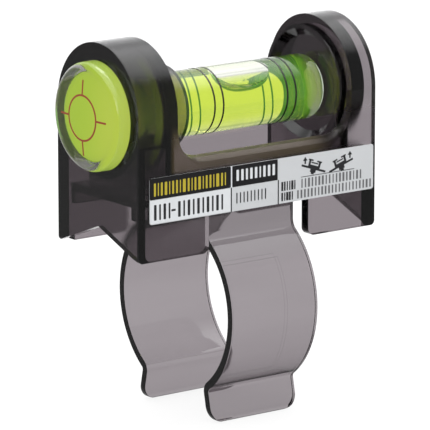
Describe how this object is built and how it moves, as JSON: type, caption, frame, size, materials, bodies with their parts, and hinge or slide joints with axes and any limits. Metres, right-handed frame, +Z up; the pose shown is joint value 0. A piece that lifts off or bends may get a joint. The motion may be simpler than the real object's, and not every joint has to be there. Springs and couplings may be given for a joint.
{
  "type": "clip-on pipe level",
  "caption": "Clip-on spirit level for a pipe: a see-through vial with a round lens end, held in a smoke-tinted saddle housing on a springy C-shaped clip.",
  "frame": {"origin": "on the axis of the pipe that the level clips onto, at the middle of the housing's length", "axes": "+X along the pipe and the vial, away from the lens end; +Y across, away from the label; +Z up, from the pipe towards the vial"},
  "size_m": [0.0613, 0.0372, 0.0758],
  "materials": {
    "smoke_plastic": "glossy, see-through smoke-tinted moulded plastic",
    "clip_plastic": "glossy, see-through smoke-tinted moulded plastic, paler because the wall is thin",
    "acrylic": "clear polished acrylic",
    "plug_acrylic": "clear polished acrylic",
    "vial_liquid": "clear yellow-green fluorescent liquid",
    "bubble_gas": "clear gas bubble with a bright skin",
    "black_ink": "thin printed line",
    "red_ink": "thin printed line",
    "label_film": "silver film printed with plain black and white fields"
  },
  "bodies": {
    "level": {"body": "smoke_plastic", "clip": "clip_plastic", "vial_tube": "acrylic", "vial_plug": "plug_acrylic", "liquid": "vial_liquid", "ring_lines": "black_ink", "cross_hair": "red_ink", "label": "label_film"},
    "air": {"bubble": "bubble_gas"}
  },
  "joints": [
    {"name": "bubble_slide", "type": "slide", "parent": "level", "child": "air", "axis": [1, 0, 0], "range_m": [-0.0174, 0.0091], "stiffness_N_per_m": 0.02, "deforming": ["liquid"]}
  ]
}
